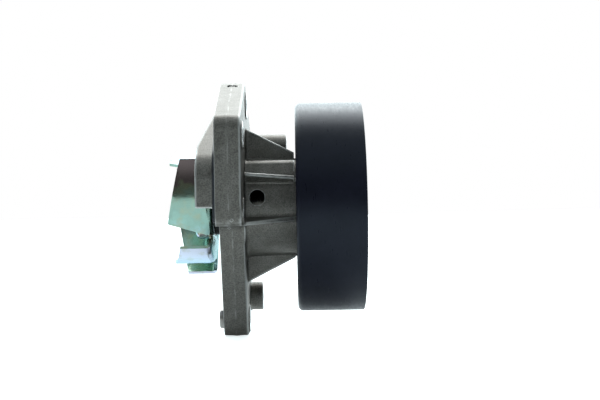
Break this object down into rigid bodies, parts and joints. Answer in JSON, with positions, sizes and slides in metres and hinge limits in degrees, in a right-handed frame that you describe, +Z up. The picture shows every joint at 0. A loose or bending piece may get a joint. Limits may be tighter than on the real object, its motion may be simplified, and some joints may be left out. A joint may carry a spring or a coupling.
{
  "type": "automotive coolant pump",
  "caption": "Engine coolant pump: ribbed cast body with bolt flange, pressed steel impeller at one end and a smooth drawn belt pulley at the other.",
  "frame": {"origin": "where the shaft axis meets the machined engine face of the flange", "axes": "+X along the shaft from the impeller to the pulley, +Z up to the top mounting ear, +Y towards the ear with the long boss"},
  "size_m": [0.092, 0.1106, 0.1245],
  "materials": {
    "cast_aluminium": "as die cast, fine grain",
    "turned_steel": "turned",
    "zinc_plate": "pressed and zinc plated, iridescent",
    "black_coat": "smooth black coating",
    "seal_rubber": "moulded",
    "cage_polymer": "moulded, glass filled",
    "seal_brass": "drawn",
    "seal_carbon": "lapped carbon",
    "seal_ceramic": "lapped"
  },
  "bodies": {
    "housing": {"pump_housing": "cast_aluminium", "ring_dowel_foot": "turned_steel", "ring_dowel_far": "turned_steel", "bearing_outer_race": "turned_steel", "bearing_seal_rear": "seal_rubber", "bearing_seal_front": "seal_rubber", "seal_cup": "seal_brass", "seal_bellows": "seal_rubber", "seal_spring": "turned_steel"},
    "rotor": {"pump_shaft": "turned_steel", "pulley": "black_coat", "pulley_hub": "black_coat", "impeller": "zinc_plate", "impeller_bush": "turned_steel", "mating_ring": "seal_ceramic", "mating_ring_boot": "seal_rubber"},
    "ball_row": {"ball_cage": "cage_polymer", "bearing_ball_1": "turned_steel", "bearing_ball_2": "turned_steel", "bearing_ball_3": "turned_steel", "bearing_ball_4": "turned_steel", "bearing_ball_5": "turned_steel", "bearing_ball_6": "turned_steel", "bearing_ball_7": "turned_steel", "bearing_ball_8": "turned_steel"},
    "roller_row": {"roller_cage": "cage_polymer", "bearing_roller_1": "turned_steel", "bearing_roller_2": "turned_steel", "bearing_roller_3": "turned_steel", "bearing_roller_4": "turned_steel", "bearing_roller_5": "turned_steel", "bearing_roller_6": "turned_steel", "bearing_roller_7": "turned_steel", "bearing_roller_8": "turned_steel", "bearing_roller_9": "turned_steel", "bearing_roller_10": "turned_steel"},
    "seal_face": {"carbon_face_ring": "seal_carbon"}
  },
  "joints": [
    {"name": "shaft_spin", "type": "hinge", "parent": "housing", "child": "rotor", "pos_m": [0, 0, 0], "axis": [1, 0, 0], "continuous": true},
    {"name": "ball_row_orbit", "type": "hinge", "parent": "housing", "child": "ball_row", "pos_m": [0, 0, 0], "axis": [1, 0, 0], "continuous": true},
    {"name": "roller_row_orbit", "type": "hinge", "parent": "housing", "child": "roller_row", "pos_m": [0, 0, 0], "axis": [1, 0, 0], "continuous": true},
    {"name": "seal_face_float", "type": "slide", "parent": "housing", "child": "seal_face", "axis": [1, 0, 0], "range_m": [0, 0.0006], "stiffness_N_per_m": 3000, "springref_m": -0.002}
  ],
  "couplings": [
    {"joint": "ball_row_orbit", "follows": "shaft_spin", "ratio": 0.3558},
    {"joint": "roller_row_orbit", "follows": "shaft_spin", "ratio": 0.401}
  ]
}
